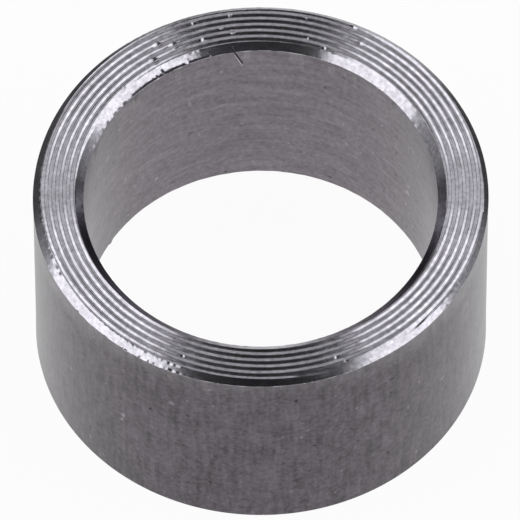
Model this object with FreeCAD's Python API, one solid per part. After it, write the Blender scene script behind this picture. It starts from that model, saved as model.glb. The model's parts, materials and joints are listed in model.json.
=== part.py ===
import FreeCAD, Part
import math
import os

# A plain turned steel bushing: one ring, cut from round tube or bar.
# Units are millimetres. The base lies on z = 0 and +Z runs along the bore.

# Main sizes
outer_diameter = 18.0
wall_thickness = 2.0
length = 9.6

# Chamfers at 45 degrees, measured along either leg
top_edge_chamfer = 0.20
top_bore_chamfer = 0.35
base_edge_chamfer = 0.08
base_bore_chamfer = 0.70

# Tool marks on the top face: shallow hollows with a narrow land between them
mark_pitch = 0.285
mark_depth = 0.035
mark_land = 0.07

# Values that follow from the sizes above
outer_radius = outer_diameter / 2
bore_radius = outer_radius - wall_thickness
face_outer_radius = outer_radius - top_edge_chamfer
face_inner_radius = bore_radius + top_bore_chamfer
face_width = face_outer_radius - face_inner_radius
mark_width = mark_pitch - mark_land
mark_count = math.floor(face_width / mark_pitch)
marks_margin = (face_width - mark_count * mark_pitch + mark_land) / 2


def point(radius, height):
    """A point of the half section, which lies in the XZ plane."""
    return FreeCAD.Vector(radius, 0, height)


def straight_edges(points):
    """Straight edges that join the points one after another."""
    return [Part.LineSegment(start, end).toShape() for start, end in zip(points, points[1:])]


def mark_edge(start_radius):
    """The hollow of one tool mark, an arc cut inwards from start_radius."""
    start = point(start_radius, length)
    bottom = point(start_radius - mark_width / 2, length - mark_depth)
    end = point(start_radius - mark_width, length)
    return Part.Arc(start, bottom, end).toShape()


def top_face_edges():
    """The top face from its outer rim to its inner rim: lands and hollows in turn."""
    edges = []
    land_start = face_outer_radius
    for index in range(mark_count):
        mark_start = face_outer_radius - marks_margin - index * mark_pitch
        edges += straight_edges([point(land_start, length), point(mark_start, length)])
        edges.append(mark_edge(mark_start))
        land_start = mark_start - mark_width
    edges += straight_edges([point(land_start, length), point(face_inner_radius, length)])
    return edges


def bushing_ring():
    """The ring, turned from its half section about the Z axis."""
    base_and_outside = [
        point(bore_radius, base_bore_chamfer),
        point(bore_radius + base_bore_chamfer, 0),
        point(outer_radius - base_edge_chamfer, 0),
        point(outer_radius, base_edge_chamfer),
        point(outer_radius, length - top_edge_chamfer),
        point(face_outer_radius, length),
    ]
    inside = [
        point(face_inner_radius, length),
        point(bore_radius, length - top_bore_chamfer),
        point(bore_radius, base_bore_chamfer),
    ]
    edges = straight_edges(base_and_outside) + top_face_edges() + straight_edges(inside)
    section = Part.Face(Part.Wire(Part.__sortEdges__(edges)))
    axis_foot = FreeCAD.Vector(0, 0, 0)
    axis_way = FreeCAD.Vector(0, 0, 1)
    return section.revolve(axis_foot, axis_way, 360)


os.makedirs("parts", exist_ok=True)

ring = bushing_ring()
ring.exportStep("parts/bushing_ring.step")

print("marks on the top face:", mark_count)
print("volume in cubic millimetres:", round(ring.Volume, 2))
print("closed and valid:", ring.isValid() and ring.ShapeType == "Solid")
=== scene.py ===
# %% [markdown]
# # A plain turned steel bushing
# One short tube, cut from drawn steel and faced on a lathe. What makes it look real is small: the fine
# spiral that the facing tool leaves on the end, the torn edges of its chamfers, and the dull drawn walls
# beside the bright cut end. The lesson models those as real geometry and keeps the grain for the materials.

# %% Load the measured part
import json
import math

import bpy
import numpy as np
from mathutils import Euler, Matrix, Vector, noise


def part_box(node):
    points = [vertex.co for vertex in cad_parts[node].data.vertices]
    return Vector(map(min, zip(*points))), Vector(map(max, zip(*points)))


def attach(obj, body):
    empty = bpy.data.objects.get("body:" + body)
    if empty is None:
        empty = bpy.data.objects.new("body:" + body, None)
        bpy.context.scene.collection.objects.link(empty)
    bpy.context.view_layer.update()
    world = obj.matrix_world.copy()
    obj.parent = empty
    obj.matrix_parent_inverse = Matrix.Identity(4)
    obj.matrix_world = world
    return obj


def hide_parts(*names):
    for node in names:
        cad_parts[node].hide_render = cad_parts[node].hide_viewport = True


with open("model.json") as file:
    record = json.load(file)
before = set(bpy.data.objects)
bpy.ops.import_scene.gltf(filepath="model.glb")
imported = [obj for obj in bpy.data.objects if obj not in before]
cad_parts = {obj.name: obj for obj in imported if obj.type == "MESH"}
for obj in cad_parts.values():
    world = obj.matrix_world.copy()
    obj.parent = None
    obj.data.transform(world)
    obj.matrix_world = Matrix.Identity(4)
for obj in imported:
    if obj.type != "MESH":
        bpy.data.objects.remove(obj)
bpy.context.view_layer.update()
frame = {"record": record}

MM = 0.001
NODE = "bushing_ring"
low_corner, high_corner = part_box(NODE)
outer_radius = high_corner.x
length = high_corner.z
mounts = {mount["name"]: mount for mount in frame["record"]["mounts"]}
bore_radius = mounts["bore"]["dims"]["r_mm"] * MM
print("outside radius", outer_radius, "bore radius", bore_radius, "length", length)

# %% [markdown]
# ## Sizes that the frame doesn't state
# Two chamfers are cut on the top end and two on the base. The facing tool moved inwards by one pitch a turn,
# so its marks are one long spiral. The ring sat slightly off centre in the lathe when that end was faced,
# so the spiral's middle is not quite the ring's middle.

# %% Chamfers and tool marks
top_edge_chamfer = 0.17 * MM
top_bore_chamfer = 0.35 * MM
base_edge_chamfer = 0.08 * MM
base_bore_chamfer = 0.70 * MM
mark_pitch = 0.286 * MM
mark_depth = 0.036 * MM
marks_off_centre = 0.13 * MM
mark_radius_in_front = 8.40 * MM
lip_height = 0.06 * MM
lip_reach = 0.012 * MM

face_outer_radius = outer_radius - top_edge_chamfer
face_inner_radius = bore_radius + top_bore_chamfer
print("the faced end is", round((face_outer_radius - face_inner_radius) / MM, 3), "mm wide")

# %% [markdown]
# ## Drawing the half section
# A lathe part is easiest to make as it is really made: draw half of its section, then turn it. The section
# could be a curve with a Screw modifier, but an edit mesh gives full control of where its points lie. It
# starts as a plane merged to one vertex, and that vertex is extruded from corner to corner. Long walls need
# few points. The faced end needs eight for each tool mark, so that the hollows stay round.

# %% Rows of the faced end
ROWS_PER_MARK = 8
SPARE_MARKS = 1.4
SPARE_ROWS = 2
face_width = face_outer_radius - face_inner_radius
marks_reach = face_width + 2 * marks_off_centre + SPARE_MARKS * mark_pitch
face_rows = math.ceil(ROWS_PER_MARK * marks_reach / mark_pitch) + SPARE_ROWS
print("the faced end needs", face_rows, "rows")

# %% [markdown]
# The section runs from the base up the outside, over the faced end and down the bore. Between two corners
# lies a zone, and each zone says how many points it gets. The first corner comes once more at the end, so
# the outline is closed only in place. Its two ends are merged when all the points have been moved.


# %% Corners and zones of the section
def stations(start, end, count):
    """Points after start, evenly spaced, up to and with end. Each is (radius, height)."""
    shares = [(index + 1) / count for index in range(count)]
    return [tuple(a + (b - a) * share for a, b in zip(start, end)) for share in shares]


corners = {
    "base outer": (outer_radius - base_edge_chamfer, 0.0),
    "wall foot": (outer_radius, base_edge_chamfer),
    "wall top": (outer_radius, length - top_edge_chamfer - lip_height),
    "wall head": (outer_radius, length - top_edge_chamfer),
    "face outer": (face_outer_radius, length),
    "face inner": (face_inner_radius, length),
    "bore head": (bore_radius, length - top_bore_chamfer),
    "bore top": (bore_radius, length - top_bore_chamfer - lip_height),
    "bore foot": (bore_radius, base_bore_chamfer),
    "base inner": (bore_radius + base_bore_chamfer, 0.0),
}
zones = [
    ("base chamfer outside", "base outer", "wall foot", 2),
    ("outer wall", "wall foot", "wall top", 8),
    ("outer lip", "wall top", "wall head", 3),
    ("outer chamfer", "wall head", "face outer", 5),
    ("face", "face outer", "face inner", face_rows),
    ("inner chamfer", "face inner", "bore head", 6),
    ("bore lip", "bore head", "bore top", 3),
    ("bore wall", "bore top", "bore foot", 8),
    ("base chamfer inside", "bore foot", "base inner", 4),
    ("base", "base inner", "base outer", 3),
]
section = [corners["base outer"]]
row_zone = ["start"]
for zone_name, start_name, end_name, count in zones:
    section += stations(corners[start_name], corners[end_name], count)
    row_zone += [zone_name] * count
print("the section has", len(section), "points in", len(zones), "zones")

# %% Extrude one vertex round the section
bpy.ops.object.select_all(action="DESELECT")
bpy.ops.mesh.primitive_plane_add(size=MM, location=(0, 0, 0))
ring = bpy.context.active_object
ring.name = "turned_ring"
bpy.ops.object.mode_set(mode="EDIT")
bpy.ops.mesh.select_all(action="SELECT")
bpy.ops.mesh.merge(type="CENTER")
bpy.ops.transform.translate(value=(section[0][0], 0, section[0][1]))
for (radius, height), (next_radius, next_height) in zip(section, section[1:]):
    step = (next_radius - radius, 0, next_height - height)
    bpy.ops.mesh.extrude_region_move(TRANSFORM_OT_translate={"value": step})
bpy.ops.mesh.select_all(action="SELECT")
print("the outline starts and ends at radius", round(section[0][0] / MM, 2), "mm, on the base")

# %% [markdown]
# ## Turning the section
# Spin copies the section round the bore axis. Spinning the whole ring in steps this fine is slow, so it makes
# only a twelfth of it, and that is repeated in the step after the next one.

# %% Spin a twelfth of the ring
COLUMNS = 1080
SECTORS = 12
sector_steps = COLUMNS // SECTORS
sector_angle = 2 * math.pi / SECTORS
bpy.ops.mesh.spin(
    steps=sector_steps,
    angle=sector_angle,
    center=(0, 0, 0),
    axis=(0, 0, 1),
    use_auto_merge=False,
)
bpy.ops.object.mode_set(mode="OBJECT")
print("the sector has", len(ring.data.vertices), "points")

# %% [markdown]
# ## Finding the rows again
# The mesh numbers its points in its own order. Each point of the section is looked up by its place in the
# first column, so that whole rows can be moved later. The other columns are in the same order as the first.

# %% Match the mesh with the section
rows = len(section)
flat = np.zeros(len(ring.data.vertices) * 3)
ring.data.vertices.foreach_get("co", flat)
spun = flat.reshape(sector_steps + 1, rows, 3)
drawn = [(spun[0, row, 0], spun[0, row, 2]) for row in range(rows)]
mesh_row = []
for spot in section:
    free_rows = [row for row in range(rows) if row not in mesh_row]
    mesh_row.append(min(free_rows, key=lambda row: math.dist(drawn[row], spot)))
spun_radius = np.hypot(spun[:, mesh_row, 0], spun[:, mesh_row, 1])
radius_misfit = np.abs(spun_radius - np.array(section)[:, 0]).max()
height_misfit = np.abs(spun[:, mesh_row, 2] - np.array(section)[:, 1]).max()
print("every point has its row, within", round(max(radius_misfit, height_misfit) / MM, 5), "mm")
turn = math.atan2(spun[-1, mesh_row[0], 1], spun[-1, mesh_row[0], 0])
print("one sector turns by", round(math.degrees(turn)), "degrees")

# %% [markdown]
# ## Repeating the sector
# An Array modifier can follow an empty. The empty is turned by one sector, so each copy is turned on from the
# last one. The two ends of the ring are left apart for now, because a spiral doesn't close on itself after
# one turn: each mark has to meet the next one there.

# %% Repeat it all round
bpy.ops.object.empty_add(location=(0, 0, 0), rotation=(0, 0, turn))
turner = bpy.context.active_object
bpy.ops.object.select_all(action="DESELECT")
ring.select_set(True)
bpy.context.view_layer.objects.active = ring
repeat = ring.modifiers.new("all_round", "ARRAY")
repeat.count = SECTORS
repeat.use_relative_offset = False
repeat.use_object_offset = True
repeat.offset_object = turner
bpy.ops.object.modifier_apply(modifier=repeat.name)
bpy.data.objects.remove(turner)

angle = turn / sector_steps * np.arange(COLUMNS + 1)
column_of = np.arange(SECTORS)[:, None] * sector_steps + np.arange(sector_steps + 1)[None, :]
print("the ring has", len(ring.data.vertices), "points in", COLUMNS, "columns")

# %% [markdown]
# ## How an edge wanders
# A cut edge is never a perfect circle: the tool chatters and the steel tears. Noise read on a circle gives
# an uneven line that still closes on itself. A bearing says where on the ring something is: 0 is the front,
# 90 is the right side and 180 is the back, going round counter-clockwise from above.

# %% Helpers that work along the rim
bearing = np.degrees(angle) + 90


def wander(feature, seed):
    """Uneven values, mostly from -0.5 to 0.5, one a column, with features of about that size in metres."""
    reach = outer_radius / feature
    return np.array([noise.noise(Vector((math.cos(a) * reach, math.sin(a) * reach, seed))) for a in angle])


def around(centre, reach):
    """A smooth hump along the rim: 1 at the centre bearing, 0 beyond reach degrees from it."""
    away = np.abs((bearing - centre + 180) % 360 - 180)
    return np.clip(1 - (away / reach) ** 2, 0, 1) ** 2


def mix(start, end, share):
    """A value between start and end."""
    return start + (end - start) * share


def ramp(value, start, end):
    """0 before start, 1 after end, smooth between them."""
    share = np.clip((value - start) / (end - start), 0, 1)
    return share * share * (3 - 2 * share)


print("bearings run from", round(bearing[0]), "to", round(bearing[-1]), "degrees")

# %% [markdown]
# ## The edges of the chamfers
# Each chamfer has two edges, and each edge wanders by its own amount. The outer chamfer is wider in front
# and on the left than behind. Its edges are torn in front on the left, and beads of metal hang on its inner
# edge further left. The bore's chamfer is a little thinner at the back, and torn there on the left. The
# amounts are in millimetres.

# %% Edges of the outer chamfer
columns = np.arange(COLUMNS + 1)
torn_front = around(-38, 26)
beaded_left = around(-80, 36)
fine_tears = wander(0.13 * MM, 3.0) + 0.6 * wander(0.07 * MM, 4.0)

rim_inset = 0.19 + 0.12 * around(-68, 80) + 0.06 * around(-5, 40)
smooth_rim = outer_radius - rim_inset * MM
tear_size = 0.006 + 0.05 * torn_front + 0.025 * beaded_left
rim_radius = smooth_rim + tear_size * MM * fine_tears

head_drop = 0.165 + 0.15 * around(-84, 50) + 0.05 * around(70, 40)
smooth_head = length - head_drop * MM
head_tears = wander(0.17 * MM, 8.0) + 0.8 * wander(0.5 * MM, 9.0)
head_height = smooth_head + (0.005 + 0.06 * torn_front) * MM * head_tears
print("the outer chamfer is", rim_inset.min().round(2), "to", rim_inset.max().round(2), "mm wide")

# %% Edges of the bore's chamfer
torn_back = around(-146, 34)
thin_back = 0.07 * MM * around(180, 90)
smooth_mouth = face_inner_radius - thin_back
mouth_radius = smooth_mouth + (0.006 + 0.02 * torn_back) * MM * wander(0.2 * MM, 12.0)
smooth_bore_head = length - top_bore_chamfer + thin_back
bore_tears = wander(0.3 * MM, 15.0) + 0.6 * wander(0.12 * MM, 16.0)
bore_head_height = smooth_bore_head + (0.006 + 0.05 * torn_back) * MM * bore_tears - 0.04 * MM * torn_back
bore_head_depth = (length - bore_head_height) / MM
print("the bore's chamfer is", bore_head_depth.min().round(2), "mm deep at least")

# %% [markdown]
# ## The tool marks
# The marks' height follows a smooth wave along the radius. Going once round, the wave moves out by one
# pitch, which makes the spiral. In front on the right the outermost mark fades into a strip that slopes
# outwards. The rows of the mesh move with the wave, so that a crest always has a row of its own, and rows
# that would pass the rim or the mouth of the bore stop there.

# %% Height of the faced end
mark_slip = 0.05 * wander(2.5 * MM, 21.0) + 0.012 * wander(0.5 * MM, 22.0)
mark_strength = 1 + 0.15 * wander(0.8 * MM, 23.0)
land_start = 8.57 * MM
land_blend = 0.04 * MM
land_slope = 0.35
sloping_land = np.minimum(1.3 * around(28, 29), 1)


def face_height(radius, column):
    """Height of the faced end at a radius, in one column of the mesh or in all of them."""
    turns = bearing[column] / 360
    from_middle = radius + marks_off_centre * np.cos(np.radians(bearing[column]))
    phase = (from_middle - mark_radius_in_front) / mark_pitch - turns + mark_slip[column]
    wave = (1 + np.sin(2 * math.pi * phase)) / 2
    land = sloping_land[column] * ramp(radius, land_start - land_blend, land_start + land_blend)
    slope_down = land_slope * np.maximum(radius - land_start, 0) * sloping_land[column]
    return length - mark_depth * mark_strength[column] * wave * (1 - land) - slope_down


print("the marks are", round(mark_strength.max() * mark_depth / MM, 3), "mm deep at most")

# %% Tables for the moved points
zone_rows = {name: np.flatnonzero(np.array(row_zone) == name) for name, _, _, _ in zones}
radius_of = np.zeros((COLUMNS + 1, rows))
height_of = np.zeros((COLUMNS + 1, rows))
radius_of[:] = [radius for radius, height in section]
height_of[:] = [height for radius, height in section]
print("the tables have", radius_of.size, "places")

# %% Lay the rows along the spiral
row_pitch = mark_pitch / ROWS_PER_MARK
outermost_reach = face_outer_radius + 0.75 * mark_pitch + marks_off_centre - mark_radius_in_front
first_station = mark_radius_in_front + math.ceil(outermost_reach / row_pitch) * row_pitch
off = marks_off_centre * np.cos(np.radians(bearing))
for step, row in enumerate(zone_rows["face"]):
    station = first_station - step * row_pitch + (bearing / 360 - mark_slip) * mark_pitch - off
    station = np.clip(station, mouth_radius, rim_radius)
    if row == zone_rows["face"][-1]:
        station = mouth_radius
    radius_of[:, row] = station
    height_of[:, row] = face_height(station, columns)
print("the first row lies at radius", round(first_station / MM, 2), "mm before it is cut off at the rim")

# %% [markdown]
# ## Chamfers between those edges
# A chamfer's rows lie on a straight line between its smooth edges. Only the rows at the edges follow the
# tears, so the chamfer itself stays clean. A burr at the foot of the bore shows against the light.


# %% Fit the rows of chamfers and walls
def fit_rows(name, start, end):
    """Puts a zone's rows evenly between two edges. An edge is a radius and a height for each column."""
    numbers = zone_rows[name]
    for step, row in enumerate(numbers):
        share = (step + 1) / len(numbers)
        radius_of[:, row] = mix(start[0], end[0], share)
        height_of[:, row] = mix(start[1], end[1], share)


every_column = np.ones(COLUMNS + 1)
lip_radius = outer_radius * every_column
wall_radius = lip_radius - lip_reach
bore_lip_radius = bore_radius * every_column
bore_wall = bore_lip_radius + lip_reach
burr = 0.12 * MM * around(-121, 1.5)
foot_line = base_bore_chamfer + 0.02 * MM * wander(0.5 * MM, 17.0) - burr
rim_edge = (smooth_rim, face_height(smooth_rim, columns))
mouth_edge = (smooth_mouth, face_height(smooth_mouth, columns))

fit_rows("outer chamfer", (lip_radius, smooth_head), rim_edge)
fit_rows("inner chamfer", mouth_edge, (bore_lip_radius, smooth_bore_head))
wall_foot = base_edge_chamfer * every_column
fit_rows("outer wall", (wall_radius, wall_foot), (wall_radius, head_height - lip_height))
fit_rows("bore wall", (bore_wall, bore_head_height - lip_height), (bore_wall, foot_line))
print("the bore's wall ends", round(foot_line.min() / MM, 2), "mm above the base at the burr")

# %% [markdown]
# ## Torn edges and beads
# Beads of metal sit on the left rim. At the back on the left, the lower rows of the bore's chamfer are pushed
# about with the tears, and one row is pressed in under them, so that the torn edge casts a dark line.

# %% Tear the edges
beads = np.clip(4 * wander(0.2 * MM, 51.0) - 0.3, 0, 1) * beaded_left
rim_row = zone_rows["outer chamfer"][-1]
radius_of[:, rim_row] = rim_radius
height_of[:, rim_row] = np.minimum(face_height(rim_radius, columns) + 0.02 * MM * beads, length)
tear_row, undercut_row, bore_head_row = zone_rows["inner chamfer"][-3:]
radius_of[:, tear_row] += 0.09 * MM * torn_back * bore_tears
height_of[:, tear_row] += 0.07 * MM * torn_back * bore_tears
radius_of[:, undercut_row] -= 0.02 * MM * torn_back
height_of[:, undercut_row] -= 0.02 * MM * torn_back
height_of[:, bore_head_row] = bore_head_height
print("the highest bead stands", round(0.02 * beads.max(), 3), "mm above the marks")

# %% [markdown]
# ## The lips
# Cutting a chamfer pushes a fine lip of metal over the wall below it. It stands out by a hundredth of a
# millimetre and shows as a thin bright line, here long and there short. In front it has one longer tick.

# %% Shape the lips
tick = 3 * around(3.9, 0.9)
lip_size = np.clip(0.45 + 1.1 * wander(0.5 * MM, 41.0), 0.05, 1.0) + tick
for row, drop in zip(zone_rows["outer lip"], (0.03, 0.01, 0.0)):
    radius_of[:, row] = lip_radius
    height_of[:, row] = head_height - drop * MM * lip_size
for row, drop in zip(zone_rows["bore lip"], (0.01, 0.035, 0.06)):
    radius_of[:, row] = bore_lip_radius
    height_of[:, row] = bore_head_height - drop * MM * lip_size
radius_of[:, zone_rows["bore lip"][-1]] = bore_wall
print("the lip's size varies from", lip_size.min().round(2), "to", lip_size.max().round(2))

# %% [markdown]
# ## Nicks
# A few specks of torn metal sit on the marks and a few dents lie between them. Each has a bearing, a radius,
# a size and a rise, all in millimetres but the bearing. A speck is tipped to both sides, so that it catches
# the lamps wherever it sits. A dent has a negative rise and is plain.

# %% Press the nicks into the faced end
nicks = [
    (-162, 8.60, 0.13, 0.02),
    (-163, 7.65, 0.16, 0.03),
    (-169, 8.05, 0.11, 0.02),
    (-172, 8.60, 0.12, 0.02),
    (-172, 7.80, 0.15, 0.03),
    (-133, 7.40, 0.11, 0.02),
    (168, 8.60, 0.11, 0.02),
    (166, 7.60, 0.12, 0.02),
    (160, 7.40, 0.11, 0.02),
    (-22, 8.20, 0.10, 0.02),
    (21, 8.25, 0.10, 0.02),
    (23, 8.50, 0.11, 0.02),
    (-71, 8.60, 0.13, 0.03),
    (-67, 8.60, 0.13, 0.03),
    (-150, 8.15, 0.16, -0.02),
    (-154, 7.85, 0.16, -0.02),
    (-146, 7.60, 0.20, -0.02),
    (155, 8.70, 0.13, -0.02),
    (151, 8.10, 0.12, -0.02),
]
SPECK_TILT = 1.5
SPECK_SINK = 0.8
face_rows_at = zone_rows["face"][:-1]
for nick_bearing, nick_radius, size, rise in nicks:
    along = np.radians((bearing - nick_bearing + 180) % 360 - 180)[:, None] * nick_radius
    across = radius_of[:, face_rows_at] / MM - nick_radius
    way = math.radians(nick_bearing)
    sideways = (along * math.cos(way) + across * math.sin(way)) / size
    hump = np.clip(1 - (along ** 2 + across ** 2) / size ** 2, 0, 1)
    tipped = SPECK_TILT * np.abs(sideways) - SPECK_SINK if rise > 0 else 1.0
    height_of[:, face_rows_at] = np.minimum(height_of[:, face_rows_at] + rise * MM * hump * tipped, length)
print("the faced end has", len(nicks), "nicks")

# %% [markdown]
# ## Closing the ring
# The tables are written into the mesh in one go, which is much faster than moving points one by one. Points
# that meet are then merged: where the sectors and the outline's ends join, and where rows stop at a rim.

# %% Write the moved points back and close the ring
merge_reach = 0.003 * MM
sharp_angle = math.radians(35)
moved = np.zeros((SECTORS, sector_steps + 1, rows, 3))
for row in range(rows):
    moved[:, :, mesh_row[row], 0] = (radius_of[:, row] * np.cos(angle))[column_of]
    moved[:, :, mesh_row[row], 1] = (radius_of[:, row] * np.sin(angle))[column_of]
    moved[:, :, mesh_row[row], 2] = height_of[:, row][column_of]
ring.data.vertices.foreach_set("co", moved.reshape(-1))
ring.data.update()

bpy.ops.object.mode_set(mode="EDIT")
bpy.ops.mesh.select_all(action="SELECT")
bpy.ops.mesh.remove_doubles(threshold=merge_reach)
bpy.ops.mesh.normals_make_consistent(inside=False)
bpy.ops.object.mode_set(mode="OBJECT")
bpy.ops.object.shade_smooth_by_angle(angle=sharp_angle)
print("the closed ring has", len(ring.data.vertices), "points")

# %% [markdown]
# ## A hair of metal
# One hair of torn metal hangs from the bore's chamfer at the back. It is a short curve with a round bevel.
# Each of its spots has a bearing in degrees, a radius and a height in millimetres.

# %% Draw the hair
hair_spots = [(-171.0, 7.12, 9.52), (-171.2, 7.00, 9.34), (-172.4, 6.94, 8.95), (-174.2, 6.95, 8.40)]
hair_radius = 0.03 * MM
hair_curve = bpy.data.curves.new("hair", "CURVE")
hair_curve.dimensions = "3D"
hair_curve.bevel_depth = hair_radius
hair_curve.bevel_resolution = 1
hair_line = hair_curve.splines.new("NURBS")
hair_line.points.add(len(hair_spots) - 1)
hair_line.use_endpoint_u = True
hair_line.order_u = 3
for spot, (spot_bearing, radius, height) in zip(hair_line.points, hair_spots):
    way = math.radians(spot_bearing - 90)
    spot.co = (radius * MM * math.cos(way), radius * MM * math.sin(way), height * MM, 1)
print("the hair follows", len(hair_spots), "spots")

# %% Join the hair to the ring
hair = bpy.data.objects.new("hair", hair_curve)
bpy.context.scene.collection.objects.link(hair)
bpy.ops.object.select_all(action="DESELECT")
hair.select_set(True)
bpy.context.view_layer.objects.active = hair
bpy.ops.object.convert(target="MESH")
ring.select_set(True)
bpy.context.view_layer.objects.active = ring
bpy.ops.object.join()
ring.data.calc_loop_triangles()
print("the ring has", len(ring.data.loop_triangles), "triangles")

# %% [markdown]
# ## Materials
# The ring is one steel, in three states: drawn and dull outside, drawn in the bore, and freshly cut on the
# faced end and the chamfers. The two drawn walls are also coloured far darker than steel is. That is painted
# shade: it keeps the walls dim although they mirror the white floor. Their grain and roughness are real.


# %% Helpers for shader nodes
def new_material(name):
    """A material with an empty node tree."""
    material = bpy.data.materials.new(name)
    material.use_nodes = True
    material.node_tree.nodes.clear()
    return material


def add(tree, kind, **settings):
    """A new node with those settings."""
    node = tree.nodes.new(kind)
    for name, value in settings.items():
        setattr(node, name, value)
    return node


def math_node(tree, operation, first, second):
    """A math node. Each of its two values is a number or another node's output."""
    node = add(tree, "ShaderNodeMath", operation=operation)
    for socket, value in zip(node.inputs, (first, second)):
        if isinstance(value, (int, float)):
            socket.default_value = value
        else:
            tree.links.new(value, socket)
    return node.outputs["Value"]


def noise_node(tree, vector, scale, detail):
    """Noise from 0 to 1, with features of about one over the scale in metres."""
    node = add(tree, "ShaderNodeTexNoise")
    node.inputs["Scale"].default_value = scale
    node.inputs["Detail"].default_value = detail
    tree.links.new(vector, node.inputs["Vector"])
    return node.outputs["Fac"]


def smooth_step(tree, value, start, end, low=0.0, high=1.0):
    """Goes smoothly from low to high, as the value goes from start to end."""
    node = add(tree, "ShaderNodeMapRange", interpolation_type="SMOOTHSTEP")
    for name, number in (("From Min", start), ("From Max", end), ("To Min", low), ("To Max", high)):
        node.inputs[name].default_value = number
    tree.links.new(value, node.inputs["Value"])
    return node.outputs["Result"]


print("five helpers are ready")

# %% [markdown]
# The three states share one group of nodes. It reads the object's own coordinates, so the pattern stays on
# the metal. A stretch of 1, 1, 0.1 draws the streaks out along the bore axis, as drawing the tube does, and
# a small x and y stretch draws them out round the ring, as turning it does.

# %% Sockets of the grain group
grain = bpy.data.node_groups.new("steel_grain", "ShaderNodeTree")
for name in ("Streaks", "Speckle", "Blotches", "Specks"):
    grain.interface.new_socket(name, in_out="INPUT", socket_type="NodeSocketFloat")
grain.interface.new_socket("Stretch", in_out="INPUT", socket_type="NodeSocketVector")
grain.interface.new_socket("Shade", in_out="OUTPUT", socket_type="NodeSocketFloat")
grain.interface.new_socket("Height", in_out="OUTPUT", socket_type="NodeSocketFloat")
amounts = add(grain, "NodeGroupInput")
result = add(grain, "NodeGroupOutput")
print("the grain group has", len(grain.interface.items_tree), "sockets")

# %% Noises of the grain
place = add(grain, "ShaderNodeTexCoord").outputs["Object"]
mapping = add(grain, "ShaderNodeMapping")
grain.links.new(place, mapping.inputs["Vector"])
grain.links.new(amounts.outputs["Stretch"], mapping.inputs["Scale"])
streaks = noise_node(grain, mapping.outputs["Vector"], 5000, 3)
speckle = noise_node(grain, place, 5500, 3)
blotches = noise_node(grain, place, 1300, 3)
rare = noise_node(grain, place, 3000, 1)
print("the grain mixes streaks, speckle, blotches and rare specks")

# %% Light and dark specks
LIGHT_FROM = 0.71
DARK_FROM = 0.29
light_over = math_node(grain, "MAXIMUM", math_node(grain, "SUBTRACT", rare, LIGHT_FROM), 0)
dark_under = math_node(grain, "MAXIMUM", math_node(grain, "SUBTRACT", DARK_FROM, rare), 0)
light_speck = math_node(grain, "MULTIPLY", light_over, 6)
dark_speck = math_node(grain, "MULTIPLY", dark_under, 4)
specks = math_node(grain, "SUBTRACT", light_speck, dark_speck)
print("specks lie where the rare noise is over", LIGHT_FROM, "or under", DARK_FROM)

# %% Sum of the grain
shade = math_node(grain, "MULTIPLY", specks, amounts.outputs["Specks"])
for value, name in ((streaks, "Streaks"), (speckle, "Speckle"), (blotches, "Blotches")):
    centred = math_node(grain, "SUBTRACT", value, 0.5)
    shade = math_node(grain, "ADD", shade, math_node(grain, "MULTIPLY", centred, amounts.outputs[name]))
grain.links.new(math_node(grain, "ADD", shade, 1.0), result.inputs["Shade"])
grain.links.new(math_node(grain, "ADD", streaks, speckle), result.inputs["Height"])
print("the grain group has", len(grain.nodes), "nodes")

# %% [markdown]
# A steel is a plain metal shader. The grain's shade darkens and lightens its colour, and the grain's height
# tips its normal a little, so that the highlights break up.


# %% A steel from the group
def steel(name, colour, roughness, stretch, amounts_of, bump_depth):
    """A metal whose colour and surface follow the grain."""
    material = new_material(name)
    tree = material.node_tree
    output = add(tree, "ShaderNodeOutputMaterial")
    shader = add(tree, "ShaderNodeBsdfPrincipled")
    shader.inputs["Metallic"].default_value = 1.0
    shader.inputs["Roughness"].default_value = roughness
    tree.links.new(shader.outputs["BSDF"], output.inputs["Surface"])
    pattern = add(tree, "ShaderNodeGroup", node_tree=grain)
    pattern.inputs["Stretch"].default_value = stretch
    for socket_name, amount in amounts_of.items():
        pattern.inputs[socket_name].default_value = amount
    tint = add(tree, "ShaderNodeVectorMath", operation="SCALE")
    tint.inputs[0].default_value = colour
    tree.links.new(pattern.outputs["Shade"], tint.inputs["Scale"])
    tree.links.new(tint.outputs["Vector"], shader.inputs["Base Color"])
    bump = add(tree, "ShaderNodeBump")
    bump.inputs["Distance"].default_value = bump_depth
    tree.links.new(pattern.outputs["Height"], bump.inputs["Height"])
    tree.links.new(bump.outputs["Normal"], shader.inputs["Normal"])
    return material


# %% Three finishes of the same steel, the two drawn ones darkened with painted shade
drawn_grain = {"Streaks": 1.0, "Speckle": 1.3, "Blotches": 0.8, "Specks": 2.0}
bore_grain = {"Streaks": 0.7, "Speckle": 0.9, "Blotches": 0.4, "Specks": 1.2}
cut_grain = {"Streaks": 0.0, "Speckle": 0.8, "Blotches": 0.5, "Specks": 0.5}
# The dark colours of the two drawn walls are painted shade that keeps them dim while they mirror the white
# floor; their grain is real.
drawn_steel_painted_shade = steel("drawn_steel_painted_shade", (0.103, 0.092, 0.105), 0.28, (1, 1, 0.12), drawn_grain, 0.002 * MM)
bore_steel_painted_shade = steel("bore_steel_painted_shade", (0.178, 0.162, 0.18), 0.32, (0.1, 0.1, 1), bore_grain, 0.0015 * MM)
cut_steel = steel("cut_steel", (0.56, 0.545, 0.60), 0.17, (1, 1, 1), cut_grain, 0.00005 * MM)
for material in (drawn_steel_painted_shade, bore_steel_painted_shade, cut_steel):
    ring.data.materials.append(material)
print("the ring has", len(ring.data.materials), "finishes")

# %% [markdown]
# ## Which face gets which finish
# A face belongs to a wall if it stands upright and lies below the edge of the chamfer above it. All the other
# faces are freshly cut, and so is the hair, which lies inside the bore's radius.

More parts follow.
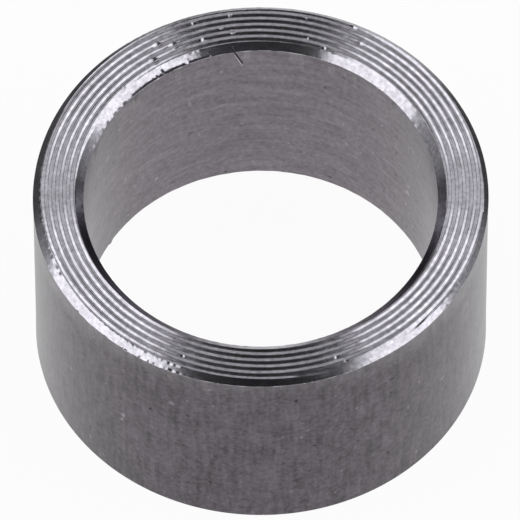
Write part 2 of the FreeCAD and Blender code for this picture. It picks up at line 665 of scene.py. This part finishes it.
# %% Give each face its finish
edge_margin = 0.03 * MM
bore_margin = 0.001 * MM
faces = len(ring.data.polygons)
centres = np.zeros(faces * 3)
normals = np.zeros(faces * 3)
ring.data.polygons.foreach_get("center", centres)
ring.data.polygons.foreach_get("normal", normals)
centres = centres.reshape(-1, 3)
normals = normals.reshape(-1, 3)
face_radius = np.hypot(centres[:, 0], centres[:, 1])
face_angle = np.arctan2(centres[:, 1], centres[:, 0])
face_column = np.round(face_angle / (turn / sector_steps)).astype(int) % COLUMNS
outside = face_radius > (outer_radius + bore_radius) / 2
in_bore = ~outside & (face_radius > bore_radius - bore_margin)
upright = np.abs(normals[:, 2]) < 0.5
wall_side = upright & outside & (centres[:, 2] < head_height[face_column] - edge_margin)
bore_side = upright & in_bore & (centres[:, 2] < bore_head_height[face_column] - edge_margin)
finish = np.where(wall_side, 0, np.where(bore_side, 1, 2))
ring.data.polygons.foreach_set("material_index", finish.astype(np.int32))
print("faces of each finish:", np.bincount(finish))

# %% [markdown]
# ## Floor, lights and camera
# The walls mirror the white sheet that the ring stands on, and it ends a little way off, so the chamfers
# that look along it stay dark. To the camera the floor glows white all over. To a mirror it glows only as far
# as the sheet goes. A share of plain diffuse white keeps the ring's own shadow.

# %% Floor
sheet_end = 0.02
sheet_fade_end = 0.06
glow_share = 0.95
bpy.ops.object.select_all(action="DESELECT")
bpy.ops.mesh.primitive_plane_add(size=6.0, location=(0, 0, 0))
floor = bpy.context.active_object
floor.name = "floor"
floor_material = new_material("pale_floor")
tree = floor_material.node_tree
lit = add(tree, "ShaderNodeBsdfDiffuse")
lit.inputs["Color"].default_value = (0.9, 0.9, 0.9, 1)
glow = add(tree, "ShaderNodeEmission")
glow.inputs["Color"].default_value = (1, 1, 1, 1)
floor.data.materials.append(floor_material)
print("the sheet fades out", sheet_end, "to", sheet_fade_end, "m from the ring's middle")

# %% What the floor shows to whom
rays = add(tree, "ShaderNodeLightPath").outputs
distance = add(tree, "ShaderNodeVectorMath", operation="LENGTH")
tree.links.new(add(tree, "ShaderNodeTexCoord").outputs["Object"], distance.inputs[0])
sheet = smooth_step(tree, distance.outputs["Value"], sheet_end, sheet_fade_end, 1.0, 0.05)
glow_strength = math_node(tree, "MAXIMUM", sheet, rays["Is Camera Ray"])
seen = math_node(tree, "MAXIMUM", rays["Is Camera Ray"], rays["Is Glossy Ray"])
seen_through = math_node(tree, "MAXIMUM", seen, rays["Is Transmission Ray"])
blend = add(tree, "ShaderNodeMixShader")
output = add(tree, "ShaderNodeOutputMaterial")
tree.links.new(glow_strength, glow.inputs["Strength"])
tree.links.new(math_node(tree, "MULTIPLY", seen_through, glow_share), blend.inputs["Fac"])
tree.links.new(lit.outputs["BSDF"], blend.inputs[1])
tree.links.new(glow.outputs["Emission"], blend.inputs[2])
tree.links.new(blend.outputs["Shader"], output.inputs["Surface"])
print("the floor's material has", len(tree.nodes), "nodes")

# %% [markdown]
# Two large soft lamps hang left and right above the ring, each with a dimmer one behind it. Their inner edges
# spread towards the camera like an open pair of scissors. The wedge between them is what makes the black
# sectors in front and at the back of the faced end, and the lamps make the bright ones at the sides.

# %% Soft lamps
lamp_height = 1.0
apex_y = 0.68
edge_angle = math.radians(23.5)


def soft_lamp(name, side, start, end, near, far, radiance):
    """A level soft box that glows evenly with that radiance.

    Its inner edge lies on a line from the apex towards the camera, turned outwards by the edge angle. Start
    and end are measured along that line, near and far straight out from it.
    """
    lamp_data = bpy.data.lights.new(name, "AREA")
    lamp_data.shape = "RECTANGLE"
    lamp_data.size = far - near
    lamp_data.size_y = end - start
    lamp_data.energy = radiance * math.pi * lamp_data.size * lamp_data.size_y
    lamp = bpy.data.objects.new(name, lamp_data)
    bpy.context.scene.collection.objects.link(lamp)
    along = Vector((side * math.sin(edge_angle), -math.cos(edge_angle), 0))
    outwards = Vector((side * math.cos(edge_angle), math.sin(edge_angle), 0))
    apex = Vector((0, apex_y, lamp_height))
    lamp.location = apex + along * (start + end) / 2 + outwards * (near + far) / 2
    lamp.rotation_euler = Euler((0, 0, side * edge_angle))
    print(name, "is", round(lamp_data.size, 2), "by", round(lamp_data.size_y, 2), "m")


for side, name in ((-1, "left"), (1, "right")):
    soft_lamp("main_lamp_" + name, side, start=0.3, end=2.3, near=0.0, far=2.4, radiance=1.5)
    soft_lamp("back_lamp_" + name, side, start=-0.25, end=0.3, near=0.1, far=1.5, radiance=0.6)

# %% [markdown]
# The room round the lamps is dim. It is a little lighter low down, lighter at the far left and right, and it
# has one pale patch low behind the ring. The slopes of the tool marks that face backwards mirror that patch
# as fine light lines in the black sectors.

# %% Dim room
patch_glow = 0.5
world = bpy.data.worlds.new("studio")
bpy.context.scene.world = world
world.use_nodes = True
tree = world.node_tree
tree.nodes.clear()
parts = add(tree, "ShaderNodeSeparateXYZ")
tree.links.new(add(tree, "ShaderNodeTexCoord").outputs["Generated"], parts.inputs["Vector"])
sideways = math_node(tree, "ABSOLUTE", parts.outputs["X"], 0)
behind = smooth_step(tree, parts.outputs["Y"], 0.0, 0.6)
below = smooth_step(tree, parts.outputs["Z"], 0.84, 0.74)
middle = smooth_step(tree, sideways, 0.42, 0.12)
patch = math_node(tree, "MULTIPLY", math_node(tree, "MULTIPLY", behind, below), middle)
at_the_side = smooth_step(tree, sideways, 0.86, 0.94, 0.01, 0.28)
low_down = smooth_step(tree, parts.outputs["Z"], 0.85, 0.5, 0.01, 0.06)
all_round = math_node(tree, "ADD", at_the_side, low_down)
strength = math_node(tree, "ADD", math_node(tree, "MULTIPLY", patch, patch_glow), all_round)
room = add(tree, "ShaderNodeBackground")
output = add(tree, "ShaderNodeOutputWorld")
tree.links.new(strength, room.inputs["Strength"])
tree.links.new(room.outputs["Background"], output.inputs["Surface"])
print("the room has", len(tree.nodes), "nodes")

# %% [markdown]
# The photo was taken from far away, so the camera is far off with a long lens. Its tilt, distance and aim
# come from a fit of the ring's circles to the photo, and they scale with the ring's radius.

# %% Camera
IMAGE_WIDTH = 520
SENSOR = 36.0
camera_tilt = math.radians(56.57)
camera_roll = math.radians(-0.145)
camera_distance = 66.6 * outer_radius
focal_pixels = 15084.5
aim_left = 0.0037 * outer_radius
aim_below_top = 0.5322 * outer_radius
aim = Vector((-aim_left, 0, length - aim_below_top))
forward = Vector((0, math.cos(camera_tilt), -math.sin(camera_tilt)))
camera_data = bpy.data.cameras.new("camera")
camera_data.sensor_width = SENSOR
camera_data.lens = focal_pixels / IMAGE_WIDTH * SENSOR
camera_data.clip_end = 10.0
camera = bpy.data.objects.new("camera", camera_data)
bpy.context.scene.collection.objects.link(camera)
camera.location = aim - forward * camera_distance
camera.rotation_euler = Euler((math.pi / 2 - camera_tilt, 0, 0))
camera.rotation_euler.rotate_axis("Z", camera_roll)
bpy.context.scene.camera = camera
bpy.context.scene.view_settings.view_transform = "Standard"
print("the camera is", round(camera_distance, 2), "m away")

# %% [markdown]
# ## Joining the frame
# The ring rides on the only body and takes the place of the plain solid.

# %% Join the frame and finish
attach(ring, "root")
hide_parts(NODE)
bpy.context.view_layer.update()
